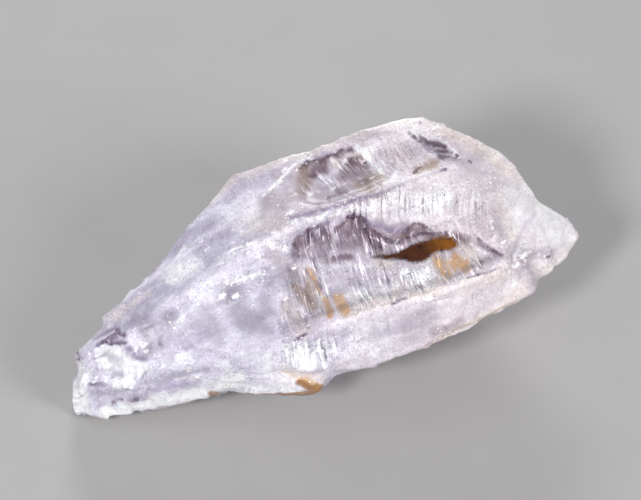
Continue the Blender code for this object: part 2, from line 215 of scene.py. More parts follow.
# where each tint, finish, painted highlight and painted shade lies: how strong, its reach in pixels, then a
# line in the photograph's frame
marks = {
    # violet seen in the clear windows, and painted shade: violet shadow lines under small steps and in the
    # left end's hollows
    "violetAndPaintedShade": [
        (0.75, 4, (300, 168), (308, 161), (320, 158), (332, 155), (342, 153), (353, 150)),
        (0.85, 7, (312, 172), (324, 165)), (1, 7, (350, 169), (358, 164), (364, 171)),
        (0.9, 9, (346, 178), (366, 177)), (0.35, 12, (320, 190), (350, 190)),
        (0.7, 3, (318, 203), (332, 197), (346, 191)), (0.75, 9, (298, 248), (309, 238), (325, 234)),
        (0.5, 10, (308, 256), (322, 252)), (0.9, 1.8, (409, 132), (416, 137), (420, 142)),
        (1, 2.4, (420, 137), (427, 142), (436, 144), (446, 146)),
        (0.9, 1.8, (431, 150), (437, 152), (448, 151)),
        (1, 2.2, (439, 159), (448, 158), (455, 155), (459, 158)), (0.8, 1.3, (439, 172), (446, 170)),
        (1, 3, (336, 231), (345, 220), (356, 216), (365, 221), (373, 232), (385, 239)),
        (0.85, 10, (346, 232), (358, 226), (366, 236), (380, 245)), (0.6, 8, (342, 245), (362, 245)),
        (0.75, 4, (334, 258), (350, 257)), (0.9, 7, (374, 229), (392, 235), (408, 231)),
        (0.7, 6, (338, 190), (352, 186)), (0.5, 6, (306, 246), (328, 246)),
        (0.9, 4, (114, 338), (123, 332)), (0.8, 2.5, (293, 243), (303, 233), (316, 226), (329, 223)),
        (0.7, 6, (399, 240), (420, 232), (440, 236), (463, 240)),
        (0.7, 3, (478, 242), (489, 250), (499, 256)), (0.3, 6, (480, 262), (496, 260)),
        (1, 2, (100, 342), (113, 336), (122, 328)), (0.7, 1.6, (94, 339), (108, 331), (118, 325)),
        (1, 3.5, (121, 329), (128, 333)), (1, 2.4, (113, 341), (130, 341)),
        (0.8, 3, (133, 347), (140, 355), (149, 357)), (0.7, 6, (146, 352), (162, 345)),
        (0.5, 5, (100, 404), (115, 401), (140, 396), (160, 385), (178, 381), (200, 380)),
        (0.5, 1.8, (106, 404), (118, 400), (138, 398), (147, 392)), (0.35, 5, (150, 374), (192, 372)),
        (0.8, 2.5, (93, 383), (106, 383)), (0.35, 8, (92, 400), (102, 390)),
        (0.5, 1.5, (81, 350), (81, 359)), (0.7, 2.5, (290, 218), (326, 209), (358, 200), (384, 194)),
        (0.5, 2, (380, 195), (404, 183), (446, 170)),
        (0.4, 3, (536, 213), (524, 226), (516, 240), (509, 257)),
        (0.5, 2, (466, 277), (482, 272), (498, 268)), (0.7, 2, (391, 303), (404, 298)),
        (0.9, 1.5, (296, 338), (308, 332)),
    ],
    "grey": [
        (0.3, 12, (211, 228), (233, 221)), (0.8, 14, (232, 292), (246, 318), (262, 324)),
        (0.7, 9, (270, 277), (288, 276)), (0.5, 12, (208, 312), (226, 334)),
        (0.3, 14, (344, 272), (366, 280)), (0.35, 14, (446, 200), (476, 208)),
        (0.4, 5, (493, 224), (501, 240), (499, 254)), (0.6, 7, (520, 253), (550, 254)),
        (0.6, 9, (524, 268), (534, 282)), (0.4, 18, (400, 206), (470, 206)),
        (0.4, 22, (396, 150), (476, 166)), (0.5, 10, (196, 318), (222, 338)),
        (0.5, 9, (262, 300), (282, 322)), (0.5, 13, (372, 332), (424, 318)),
        (0.8, 9, (150, 322), (156, 344)), (0.8, 9, (168, 328), (172, 316)),
        (0.35, 10, (196, 342), (280, 340)), (0.35, 10, (214, 268), (246, 262)),
        (0.3, 8, (212, 286), (244, 292)), (0.4, 6, (350, 136), (392, 128)),
        (0.8, 5, (424, 143), (440, 152), (454, 158)), (0.6, 5, (104, 354), (120, 356)),
        (0.6, 3.5, (114, 369), (129, 375)), (0.5, 4, (97, 353), (103, 366)),
        (0.4, 10, (320, 190), (350, 190)), (0.5, 8, (130, 322), (150, 306)),
    ],
    # white frost veils together with painted light: lightened lower faces and sill, and painted highlights
    # on ridges
    "whiteAndPaintedLight": [
        (0.8, 1.6, (305, 156), (293, 167), (280, 180), (263, 197)),
        (0.6, 4, (290, 223), (318, 218), (346, 210), (380, 203)), (0.6, 8, (362, 208), (400, 196)),
        (0.7, 13, (404, 206), (442, 198)), (0.5, 3, (252, 243), (268, 245), (283, 249)),
        (0.8, 2, (226, 282), (244, 277), (262, 273)), (0.9, 2.5, (222, 295), (225, 297)),
        (0.9, 2.5, (235, 296), (239, 297)), (0.9, 8, (290, 349), (300, 363)),
        (1, 7, (304, 346), (311, 364)), (1, 5, (320, 342), (325, 364)),
        (0.8, 4, (331, 338), (334, 350)), (0.7, 4, (268, 352), (268, 366)),
        (0.7, 7, (230, 363), (235, 380)), (0.8, 8, (402, 273), (430, 272)),
        (0.3, 5, (352, 306), (380, 300), (404, 293), (440, 286)),
        (0.7, 2.5, (350, 153), (344, 161), (338, 172)), (0.5, 2, (331, 160), (337, 172)),
        (0.9, 5, (358, 149), (370, 150)), (0.8, 3, (364, 153), (376, 168), (386, 181)),
        (0.6, 1.8, (372, 152), (394, 178)), (0.5, 1.8, (382, 150), (402, 172)),
        (0.6, 2, (196, 300), (212, 290)), (0.6, 2, (226, 306), (240, 300)),
        (0.6, 2, (178, 322), (186, 315)), (0.7, 3, (306, 196), (318, 191)),
        (0.8, 1.6, (440, 141), (447, 142), (451, 148), (457, 153)),
        (0.5, 1.3, (426, 147), (437, 148), (447, 149)), (0.5, 1.3, (433, 155), (446, 154)),
        (0.8, 1.6, (411, 130), (418, 136), (424, 141)), (0.7, 2, (424, 127), (431, 134)),
        (0.6, 2, (320, 270), (328, 292), (336, 312)), (0.5, 1.6, (340, 284), (346, 300)),
        (0.6, 1.8, (437, 256), (447, 277)), (0.6, 1.8, (444, 255), (455, 278)),
        (0.7, 1.6, (178, 377), (188, 376), (196, 378)), (0.5, 4, (300, 268), (332, 265), (372, 266)),
        (0.7, 1.4, (333, 226), (330, 256)), (0.3, 8, (262, 310), (286, 296)),
        (0.6, 5, (514, 256), (521, 248), (527, 241)), (0.65, 25, (520, 200), (560, 230)),
        (0.5, 10, (510, 284), (470, 302)), (0.3, 20, (484, 176), (502, 206)),
        (0.6, 6, (352, 300), (400, 290), (430, 282)), (0.55, 8, (324, 296), (384, 290)),
        (0.7, 6, (414, 280), (444, 276)), (0.4, 5, (472, 256), (476, 264)),
        (0.4, 10, (470, 164), (500, 170)), (1, 5, (132, 356), (146, 362)),
        (0.4, 6, (98, 330), (110, 318)), (0.4, 6, (92, 392), (108, 390)),
        (0.8, 4, (284, 386), (302, 390)), (0.5, 6, (322, 190), (334, 184)),
        (1, 11, (80, 404), (84, 374)), (0.8, 11, (176, 275), (196, 266)),
        (0.9, 10, (112, 410), (150, 402), (204, 390)), (0.9, 9, (220, 384), (240, 376)),
        (0.6, 6, (240, 384), (276, 384)), (0.5, 12, (150, 368), (196, 362)),
        (0.3, 10, (196, 246), (212, 262)), (0.4, 4, (392, 305), (420, 298), (450, 288), (480, 279)),
        (0.3, 7, (440, 300), (460, 292)),
    ],
    # where painted glints gather
    "sparkle": [
        (1, 5, (222, 259), (240, 249), (254, 244), (284, 249)),
        (1, 6, (210, 284), (225, 281), (264, 273)), (0.8, 10, (200, 300), (240, 296)),
        (0.8, 9, (176, 318), (186, 326)), (0.8, 10, (228, 366), (240, 384), (262, 388)),
        (1, 9, (292, 345), (330, 345)), (0.8, 8, (290, 222), (346, 210), (400, 196)),
        (0.7, 12, (420, 200), (480, 190), (500, 175)), (0.7, 10, (90, 350), (110, 385)),
        (0.9, 12, (514, 264), (548, 262)), (0.8, 6, (263, 196), (282, 178), (306, 156)),
        (0.7, 8, (410, 124), (440, 130)), (0.6, 6, (430, 335), (480, 320)),
        (0.6, 8, (320, 186), (350, 192)),
    ],
    # painted highlights: small white glints
    "glint": [
        (1, 2, (248, 245), (253, 243)), (1, 2, (239, 248), (243, 247)),
        (1, 1.8, (256, 250), (259, 252)),
        (1, 1.6, (233, 251), (236, 249)), (1, 1.8, (268, 244), (278, 242)),
        (1, 1.8, (284, 250), (287, 246)),
        (1, 1.6, (258, 257), (262, 256)), (1, 2, (208, 284), (211, 282)),
        (1, 2.4, (222, 297), (226, 294)),
        (1, 2.4, (235, 297), (239, 294)), (0.8, 1.8, (226, 284), (240, 279), (259, 273)),
        (0.9, 1.6, (261, 283), (264, 281)), (0.9, 1.5, (272, 269), (275, 268)),
        (0.9, 1.5, (292, 268), (295, 267)),
        (0.8, 1.5, (172, 330), (178, 325), (185, 320)), (0.9, 1.6, (203, 289), (206, 288)),
        (1, 2, (180, 266), (184, 270)), (0.9, 1.5, (201, 242), (204, 240)),
        (0.9, 1.6, (207, 250), (210, 248)),
        (0.9, 1.5, (274, 292), (277, 291)), (0.9, 1.5, (285, 299), (288, 297)),
        (1, 1.6, (288, 214), (293, 212)),
        (0.9, 1.5, (316, 219), (320, 217)), (1, 1.6, (336, 214), (340, 212)),
        (0.9, 1.5, (349, 212), (352, 210)),
        (1, 1.6, (367, 211), (371, 208)), (0.9, 1.6, (285, 162), (288, 159)),
        (1, 1.6, (283, 172), (286, 169)),
        (0.9, 1.6, (278, 184), (281, 181)), (0.9, 1.6, (271, 190), (275, 186)),
        (0.9, 1.5, (361, 183), (363, 182)),
        (0.9, 1.5, (370, 179), (373, 178)), (0.9, 1.5, (400, 181), (403, 180)),
        (1, 1.8, (434, 128), (438, 125)),
        (0.9, 1.6, (437, 135), (440, 133)), (1, 1.6, (414, 127), (417, 125)),
        (0.9, 1.6, (410, 135), (413, 133)),
        (0.9, 1.5, (457, 159), (460, 157)), (0.9, 1.4, (488, 223), (490, 221)),
        (0.9, 1.4, (489, 230), (492, 228)),
        (0.9, 1.6, (500, 243), (503, 241)), (1, 2, (520, 257), (525, 253)),
        (1, 2, (512, 267), (516, 263)),
        (0.9, 1.6, (526, 253), (530, 251)), (1, 1.8, (137, 350), (141, 347)),
        (1, 1.8, (146, 344), (150, 342)),
        (0.9, 1.6, (148, 350), (151, 348)), (0.9, 1.5, (137, 329), (140, 327)),
        (0.9, 1.6, (190, 369), (193, 367)),
        (0.9, 1.6, (197, 376), (201, 375)), (0.9, 1.5, (131, 391), (134, 390)),
        (0.9, 1.5, (96, 381), (98, 379)),
        (1, 2, (424, 298), (436, 296)), (0.9, 1.6, (431, 302), (446, 299)),
        (0.9, 1.5, (330, 350), (334, 349)),
    ],
    "upright": [
        (1, 14, (368, 211), (400, 200), (480, 208)),
    ],
    "mauve": [
        (0.9, 12, (270, 203), (296, 199), (312, 202)), (0.6, 7, (276, 176), (290, 168)),
        (0.5, 7, (306, 326), (330, 326)), (0.6, 9, (272, 216), (312, 212)),
        (0.9, 7, (338, 204), (380, 198)), (0.4, 7, (370, 214), (386, 210)),
        (0.7, 10, (274, 254), (290, 270)), (0.5, 5, (336, 366), (366, 356)),
        (0.9, 5, (434, 330), (458, 321)), (0.5, 8, (292, 176), (296, 190)),
        (0.8, 7, (374, 228), (392, 232), (410, 228)),
    ],
    # warm beige frost, with painted light: a bright rim along the outline and lightening along the sill
    "creamAndPaintedLight": [
        (0.7, 6, (232, 178), (300, 153), (360, 130), (408, 118)),
        (0.7, 8, (436, 124), (480, 146), (512, 172), (536, 208)), (0.7, 5, (190, 217), (232, 180)),
        (0.6, 4, (106, 324), (150, 292)), (0.6, 14, (254, 226), (286, 222)),
        (0.7, 9, (288, 304), (304, 330)), (0.8, 6, (378, 263), (389, 266)),
        (0.7, 8, (386, 302), (402, 287)), (0.6, 14, (430, 262), (470, 262)),
        (1, 8, (346, 308), (380, 300), (404, 293), (440, 286)), (0.8, 10, (462, 246), (474, 262)),
        (0.9, 7, (338, 163), (350, 155), (364, 157)), (0.6, 8, (460, 284), (500, 274)),
        (0.5, 8, (500, 200), (508, 236)), (0.5, 6, (500, 302), (540, 270)),
        (0.7, 3, (576, 240), (556, 262), (530, 280)),
        (0.7, 3, (524, 292), (500, 308), (470, 322), (440, 338)), (0.6, 10, (286, 374), (318, 382)),
        (0.5, 8, (392, 150), (404, 160)),
    ],
    "rust": [
        (0.6, 7, (312, 275), (317, 288)), (0.9, 4, (326, 299), (330, 312)),
        (1, 6, (337, 296), (344, 307)), (0.9, 7, (437, 259), (442, 269)),
        (1, 7, (452, 260), (462, 266)), (0.35, 6, (290, 372), (322, 378)),
        (0.5, 2.5, (284, 370), (302, 376)), (1, 4, (302, 378), (318, 385)),
    ],
    # painted shade in creases, along recess walls and under small steps, with real cracks and dark specks
    "paintedShadeAndCracks": [
        (0.6, 1.6, (303, 163), (318, 158)), (0.45, 3, (304, 165), (326, 161)),
        (0.45, 4, (346, 163), (366, 168)), (0.6, 1.6, (372, 230), (382, 238), (392, 242), (400, 240)),
        (0.8, 1.8, (328, 156), (340, 152), (352, 149)), (0.5, 1, (106, 366), (114, 372), (126, 374)),
        (0.9, 1.8, (350, 160), (360, 157), (366, 163)), (0.8, 1.6, (294, 242), (296, 249)),
        (0.6, 1.6, (310, 228), (322, 224)), (1, 1.9, (343, 222), (348, 218), (357, 216), (364, 220)),
        (1, 2.2, (376, 234), (388, 241), (397, 243)),
        (0.9, 1.8, (402, 233), (412, 224), (420, 225), (431, 230)),
        (0.9, 1.6, (404, 238), (422, 234), (440, 232)), (0.8, 1.3, (476, 238), (488, 248), (501, 256)),
        (0.8, 1.2, (391, 304), (404, 298)), (0.6, 1.4, (466, 277), (482, 272), (498, 268)),
        (0.8, 1.2, (296, 338), (306, 333)), (0.9, 1.5, (410, 133), (419, 142)),
        (0.9, 1.8, (434, 146), (446, 147)), (0.9, 1.6, (453, 153), (459, 158)),
        (0.8, 1.6, (438, 156), (442, 160)), (0.9, 1.6, (104, 340), (114, 336), (121, 329)),
        (0.9, 1.7, (114, 341), (129, 341)), (1, 2, (123, 330), (128, 334)),
        (0.8, 1.6, (115, 401), (124, 398)), (0.8, 1.5, (133, 398), (141, 396)),
        (0.8, 1.4, (81, 350), (81, 359)), (0.6, 1.6, (94, 383), (106, 381)),
        (0.8, 1.4, (439, 172), (446, 170)), (0.8, 1.5, (413, 174), (420, 168)),
        (0.9, 1.3, (469, 161), (471, 163)), (0.9, 1.4, (180, 404), (183, 405)),
        (0.7, 1.8, (516, 258), (520, 262)), (0.7, 1.5, (545, 258), (549, 256)),
    ],
    "fringe": [
        (1, 3.5, (300, 380), (312, 386), (324, 386)), (1, 2.5, (212, 392), (226, 394), (240, 395)),
        (1, 2.4, (236, 395), (276, 394), (316, 390)),
        (0.45, 1.6, (82, 414), (112, 417), (150, 408), (200, 398)),
        (0.5, 1.6, (424, 344), (456, 328), (484, 317), (516, 300)),
        (0.4, 1.8, (324, 387), (352, 373), (380, 362), (410, 352)),
    ],
    "calm": [
        (1, 30, (505, 175), (540, 215), (570, 235)),
        (0.9, 20, (530, 270), (500, 290), (440, 312), (400, 322)), (0.8, 16, (470, 150), (490, 205)),
        (0.6, 26, (236, 200), (300, 165)), (0.9, 26, (160, 330), (196, 330), (240, 310)),
        (0.6, 30, (190, 270), (260, 320)), (0.6, 12, (110, 405), (200, 392)),
        (0.6, 14, (108, 352), (134, 368), (116, 380)),
    ],
    "umber": [
        (1, 5, (297, 287), (305, 301)), (0.9, 5, (305, 288), (313, 303)),
        (0.4, 22, (300, 280), (320, 308)), (0.9, 3, (307, 284), (312, 298)),
        (0.7, 3, (314, 277), (318, 290)), (0.8, 7, (300, 168), (306, 180)),
        (0.5, 5, (312, 164), (322, 162)), (0.5, 4, (376, 232), (392, 236), (404, 234)),
        (0.85, 7, (301, 182), (303, 190)), (0.4, 10, (294, 174), (296, 192)),
        (0.7, 5, (312, 294), (316, 306)), (0.4, 6, (304, 195), (314, 200)),
        (0.95, 7, (362, 187), (380, 181)), (0.9, 5, (417, 171), (425, 167), (434, 165)),
        (1, 1.4, (373, 257), (374, 258)), (1, 1.4, (379, 256), (381, 257)),
        (0.8, 1.5, (180, 404), (183, 405)),
    ],
}

# strokes of the same kind that shape the surface and aren't painted
reliefMarks = {
    "growth": [
        (1, 13, (350, 214), (400, 202), (475, 206)), (1, 12, (292, 352), (330, 347)),
        (0.25, 12, (345, 335), (420, 318)), (0.9, 16, (380, 160), (404, 160)),
    ],
    "soften": [
        (1, 9, (300, 333), (350, 311), (400, 296), (450, 283), (488, 271)),
        (0.7, 7, (298, 204), (320, 210), (345, 205), (380, 195)), (0.95, 20, (164, 326), (205, 322)),
        (0.95, 14, (160, 352), (205, 346)), (0.4, 10, (112, 354), (132, 368), (116, 380)),
    ],
}

# the broken face at the left end that is whitest; its white is partly painted light
whiteFacet = [
    (94, 345), (104, 343), (112, 344), (126, 342), (134, 348), (140, 357), (154, 361), (152, 370),
    (142, 377), (134, 385), (122, 388), (111, 388), (106, 380), (118, 374), (106, 366), (98, 360),
]

# edges of small breaks: how high the step is in mm, then its foot; the higher side is on the line's left
scarps = [
    (0.11, (509, 262), (511, 253), (517, 239), (526, 225), (540, 210)),
    (0.10, (578, 238), (556, 249), (538, 252), (522, 254), (509, 262)),
    (0.04, (504, 256), (500, 238), (490, 221)),
    (0.14, (154, 362), (143, 358), (133, 347), (125, 342), (108, 343), (92, 346)),
    (0.10, (107, 384), (112, 389), (134, 386), (154, 362)),
    (0.16, (204, 377), (176, 379), (160, 386), (137, 398), (111, 402), (92, 406)),
    (0.12, (131, 341), (126, 328), (112, 335), (100, 343)),
    (0.14, (323, 388), (311, 379), (297, 373), (278, 379)),
    (0.10, (286, 249), (266, 245), (252, 243), (236, 250), (220, 262), (205, 268)),
    (0.08, (266, 272), (244, 277), (224, 283), (206, 292)),
    (0.10, (264, 197), (280, 181), (293, 168), (306, 156)),
    (0.08, (340, 128), (372, 134), (398, 132), (410, 132)),
    (0.10, (447, 145), (430, 141), (416, 134)),
    (0.08, (444, 152), (428, 149)),
    (0.10, (459, 158), (442, 158), (428, 155)),
    (0.08, (470, 164), (446, 170), (404, 184), (380, 195), (352, 202)),
    (0.08, (250, 352), (224, 352), (196, 345), (170, 350)),
    (0.08, (470, 316), (440, 322), (404, 332), (372, 344)),
    (0.08, (298, 268), (280, 274), (262, 292)),
    (0.07, (140, 330), (160, 322), (182, 304)),
]

# small moves of the outline: the place, how far the move reaches and the move, all in pixels
nudges = [
    ((82, 334), 17, (4, 10)), ((72, 366), 14, (5, 1)), ((112, 310), 17, (2, 5)), ((152, 268), 20, (1, 4)),
    ((465, 322), 22, (1, 7)), ((562, 254), 15, (1, 6)), ((530, 280), 16, (4, 4)),
    ((122, 416), 24, (0, -4)), ((350, 137), 16, (0, -3)), ((410, 354), 18, (0, -3)),
    ((228, 396), 14, (0, -3)), ((101, 322), 10, (3, 5)), ((86, 342), 8, (-4, 0)),
    ((350, 374), 20, (-1, -4)), ((338, 380), 12, (-3, -3)), ((505, 306), 14, (2, 3)),
    ((541, 281), 8, (-4, -3)), ((195, 402), 18, (0, -2)), ((150, 410), 14, (0, -3)),
    ((576, 236), 10, (2, 0)),
]

# the fine surface; lengths in mm
skin = {
    "grid": 0.15,
    "evenShares": (0.55, -0.57) * 4,
    "calmShares": (0.55, -0.57) * 40,
    "softShares": (0.5,) * 50,
    "ridgeShares": (0.5,) * 10,
    "ridgeHeight": 0.05,
    "leftEnd": -17.6,
    "leftTrim": 0.15,  # share by which what lies beyond the left end is drawn in
    "rightEnd": 18.0,
    "rightReach": 0.12,  # share by which what lies beyond the right end is drawn out
    "wander": (
        (1.0, 0.75, (51.0, 53.0)),  # pixels, size of the lumps, an offset for each direction
        (0.5, 0.33, (55.0, 57.0)),
    ),
    "windowLean": {"inUpper": 0.93, "inLower": 0.34},  # of the growth lines in the photograph's frame
    "teeth": ((1.0, 0.28, 61), (0.7, 0.8, 62)),  # pixels, pitch and seed of the ragged edges there
    "patches": (2.6, 21.0),  # size of the lumps and offset
    "tufts": (1.1, 23.0),
    "growthStep": (0.035, 0.55, 31),  # height, pitch and seed
    "growthLine": (0.015, 0.3, 32),
    "hiddenStep": (0.03, 1.7, 33),
    "flakeWarp": (0.35, 0.8, 45.0),  # shift, size of the lumps and offset
    "flakeStretch": (0.55, 1.0, 1.0),
    "coarseFlakes": (1.1, 0.055, 41),  # pitch, tilt and seed
    "fineFlakes": (0.55, 0.05, 42),
    "brokenFlakes": (2.2, 0.13, 43),
    "hiddenFlakes": (3.0, 0.05, 44),
    "brokenFrom": -13.0,
    "brokenTo": -15.5,
    "scarpReach": 14.0,  # pixels
    "scarpWander": 1.5,  # times the wander, as for the windows
    "windowWander": 2.0,
    "restFade": 0.5,  # height over which the relief dies away towards the rest face
}


def scarpRise(places, scarp):
    # a step along a line, which dies away on its higher side and towards both ends
    height, *line = scarp
    nearest = np.full(len(places), np.inf)
    rise = np.zeros(len(places))
    lengths = np.cumsum([0.0] + [math.dist(a, b) for a, b in zip(line, line[1:])])
    for start, (ax, ay), (bx, by) in zip(lengths, line, line[1:]):
        run, fall = bx - ax, by - ay
        size = math.hypot(run, fall)
        along = np.clip(((places[:, 0] - ax) * run + (places[:, 1] - ay) * fall) / size, 0.0, size)
        gap = np.hypot(places[:, 0] - ax - along * run / size, places[:, 1] - ay - along * fall / size)
        side = (places[:, 0] - ax) * fall - (places[:, 1] - ay) * run
        share = (start + along) / lengths[-1]
        ends = smoothStep(0.0, 0.25, share) * smoothStep(1.0, 0.75, share)
        foot = smoothStep(-1.0, 1.0, np.where(side > 0, gap, -gap))
        step = height * ends * np.exp(-gap / skin["scarpReach"]) * foot
        closer = gap < nearest
        nearest = np.where(closer, gap, nearest)
        rise = np.where(closer, step, rise)
    return rise


def tintField(places, wander, strokes):
    # a soft band along each stroke, its edges made uneven by the wander
    value = np.zeros(len(places))
    for strength, reach, *line in strokes:
        gap = lineGap(places + min(0.5 * reach, 4.0) * wander, line)
        value = np.maximum(value, strength * np.exp(-0.7 * (gap / reach) ** 2))
    return value


def photoPlaces(points, right, up):
    # where points show in the photograph's frame
    across = np.stack([points @ right, -(points @ up)], 1)
    return np.array(view["originPixel"]) + view["pixelsPerMm"] * across


def depthIn(places, outline):
    # how far inside an outline of the photograph's frame, in mm
    return insideOf(places, outline) / view["pixelsPerMm"]


def fitOutline(points, right, up):
    # draws the ends in and out, then moves the outline by the nudges
    x = points[:, 0]
    drawnIn = skin["leftTrim"] * np.maximum(0.0, skin["leftEnd"] - x)
    points[:, 0] += drawnIn + skin["rightReach"] * np.maximum(0.0, x - skin["rightEnd"])
    places = photoPlaces(points, right, up)
    for place, reach, (aside, down) in nudges:
        share = np.exp(-(((places - place) / reach) ** 2).sum(1)) / view["pixelsPerMm"]
        points += share[:, None] * (aside * right - down * up)
    return points


def wanderOf(points):
    # an uneven shift in two directions, in pixels
    return sum(
        strength * np.stack([lumpNoise(points, size, offset) for offset in offsets], 1)
        for strength, size, offsets in skin["wander"]
    )


def combed(wander, places):
    # inside the windows the marks are ragged along the growth lines
    for name, lean in skin["windowLean"].items():
        along = np.array([lean, 1.0]) / math.hypot(lean, 1.0)
        across = (places @ np.array([along[1], -along[0]])) / view["pixelsPerMm"]
        teeth = sum(strength * lineNoise(across, pitch, seed) for strength, pitch, seed in skin["teeth"])
        share = smoothStep(-0.5, 0.1, depthIn(places, windows[name]))
        wander = wander * (1.0 - 0.5 * share[:, None]) + (share * teeth)[:, None] * along
    return wander


def growthRise(x, lined, glassy, hidden):
    # growth lines, all square to the crystal's length, and the hidden sides' growth steps
    stepHeight, stepPitch, stepSeed = skin["growthStep"]
    lineHeight, linePitch, lineSeed = skin["growthLine"]
    hiddenHeight, hiddenPitch, hiddenSeed = skin["hiddenStep"]
    rise = stepHeight * stepNoise(x, stepPitch, stepSeed) + lineHeight * lineNoise(x, linePitch, lineSeed)
    rise *= lined * (1.0 - 0.7 * glassy)
    return rise + hiddenHeight * hidden * stepNoise(x, hiddenPitch, hiddenSeed)


def flakeRise(points, facing, frost, calm, patch):
    # flat flakes of the frosted and the broken faces
    broken = smoothStep(skin["brokenFrom"], skin["brokenTo"], points[:, 0]) * (1.0 - 0.8 * calm)
    shift, size, offset = skin["flakeWarp"]
    warped = (points + shift * lumpNoise(points, size, offset)[:, None]) * skin["flakeStretch"]
    rise = frost * flakes(warped, *skin["coarseFlakes"]) * (0.4 + 0.6 * patch)
    rise += frost * flakes(warped, *skin["fineFlakes"]) * patch
    rise += broken * flakes(warped, *skin["brokenFlakes"])
    return rise + (1.0 - facing) * flakes(warped, *skin["hiddenFlakes"])


def buildSkin():
    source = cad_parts["crystal"].data.copy()
    writePoints(source, readPoints(source) / mm)
    piece = remeshed("crystalSkin", source, skin["grid"])
    mesh = piece.data
    right, up, back = (np.array(axis) for axis in viewAxes())
    points = fitOutline(relax(mesh, readPoints(mesh), skin["evenShares"]), right, up)
    writePoints(mesh, points)
    normals = readPoints(mesh, "normal")
    places = photoPlaces(points, right, up)
    print("skin", len(points), "points")

    facing = smoothStep(-0.10, 0.12, normals @ back)
    wander = wanderOf(points)
    calm = tintField(places, wander, marks["calm"]) * smoothStep(-0.5, 0.0, normals @ back)
    soften = tintField(places, wander, reliefMarks["soften"]) * facing
    points += calm[:, None] * (relax(mesh, points, skin["calmShares"]) - points)
    points += soften[:, None] * (relax(mesh, points, skin["softShares"]) - points)
    ridge = ((points - relax(mesh, points, skin["ridgeShares"])) * normals).sum(1) / skin["ridgeHeight"]
    wander = combed(wander, places)
    inside = {
        name: np.where(facing > 0, depthIn(places + skin["windowWander"] * wander, outline), farOutside)
        for name, outline in windows.items()
    }

    # where growth lines and flakes lie
    patch = smoothStep(-0.15, 0.35, lumpNoise(points, *skin["patches"]))
    front = smoothStep(0.1, 0.55, -normals[:, 1])
    clear = np.maximum(smoothStep(0.0, 0.3, inside["inLower"]), smoothStep(0.0, 0.3, inside["inUpper"]))
    growth = tintField(places, wander, reliefMarks["growth"]) * facing + (1.0 - facing) * patch * 0.6
    tufts = smoothStep(-0.15, 0.30, lumpNoise(points * (1.0, 0.6, 0.6), *skin["tufts"]))
    lined = 0.05 * patch * front + growth * (0.6 + 0.4 * tufts) + (0.2 + 0.8 * tufts) * clear
    lined = np.clip(lined, 0.0, 1.0)
    glassy = smoothStep(-0.2, 0.2, inside["inUpper"])
    frost = (1.0 - clear) * (1.0 - 0.7 * calm)

    rise = growthRise(points[:, 0], lined, glassy, patch * (1.0 - facing) * (1.0 - calm))
    rise += flakeRise(points, facing, frost, calm, patch)
    for scarp in scarps:
        rise += facing * scarpRise(places + skin["scarpWander"] * wander, scarp)
    rise *= smoothStep(0.0, skin["restFade"], points[:, 2])
    points = points + rise[:, None] * normals
    points[:, 2] = np.maximum(points[:, 2], 0.0)
    writePoints(mesh, points * mm)

    # fields that the paint reads
    for name, gap in inside.items():
        addField(mesh, name, gap)
    for name, strokes in marks.items():
        addField(mesh, name, tintField(places, wander, strokes) * facing)
    for name, outline in {"inFacet": whiteFacet, "overBlade": blade["outline"]}.items():
        addField(mesh, name, np.where(facing > 0, depthIn(places, outline), farOutside))
    for name, values in {"ridge": ridge, "lined": lined, "hidden": 1.0 - facing}.items():
        addField(mesh, name, values)
    mesh.shade_smooth()
    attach(piece, "root")
    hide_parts("crystal")
    return piece


# the brown blade sealed in the crystal; its outline as places in the photograph's frame, lengths in mm
blade = {
    "outline": [
        (372, 257), (378, 255), (384, 254), (394, 252), (405, 248), (414, 243), (429, 239), (442, 237),
        (450, 237), (456, 241), (456, 246), (450, 250), (437, 252), (429, 256), (424, 261), (413, 263),
        (402, 260), (388, 260),
    ],
    "level": 8.55,
    "thick": 0.30,
    "grid": 0.07,
    "margin": 0.12,  # how far it reaches on under the milky rim
    "evenShares": (0.55, -0.5) * 6,
    "lumps": ((0.05, 0.5, 3.0), (0.10, 0.6, 7.0), (0.08, 0.9, 11.0)),  # height, size, offset for x, y, z
    "paint": {  # umber at the left, amber at the right
        "umber": (0.17, 0.045, 0.0),
        "amber": (0.68, 0.29, 0.0),
        "specks": (0.05, 0.015, 0.0),
        "amberFrom": 7.0,
        "amberTo": 10.0,
        "roughness": (0.45, 0.75),
        "specular": 0.05,
    },
}


def buildBlade():
    right, up, back = viewAxes()
    middle, scale = view["originPixel"], view["pixelsPerMm"]
    ring = []
    for px, py in blade["outline"]:
        place = right * (px - middle[0]) / scale - up * (py - middle[1]) / scale
        ring.append(place + back * ((blade["level"] - place.z) / back.z))
    count = len(ring)
    corners = [p + Vector((0, 0, side * blade["thick"] / 2)) for side in (-1, 1) for p in ring]
    sides = [(i, (i + 1) % count, count + (i + 1) % count, count + i) for i in range(count)]
    faces = [tuple(range(count - 1, -1, -1)), tuple(range(count, 2 * count))] + sides
    mesh = bpy.data.meshes.new("ironBlade")
    mesh.from_pydata(corners, [], faces)
    piece = remeshed("ironBlade", mesh, blade["grid"])
    mesh = piece.data
    points = relax(mesh, readPoints(mesh), blade["evenShares"])
    points += blade["margin"] * readPoints(mesh, "normal") * (1.0, 1.0, 0.0)
    for axis, (height, size, offset) in enumerate(blade["lumps"]):
        points[:, axis] += height * lumpNoise(points, size, offset)
    writePoints(mesh, points * mm)
    mesh.shade_smooth()
    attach(piece, "root")
    print("blade", len(points), "points")
    return piece


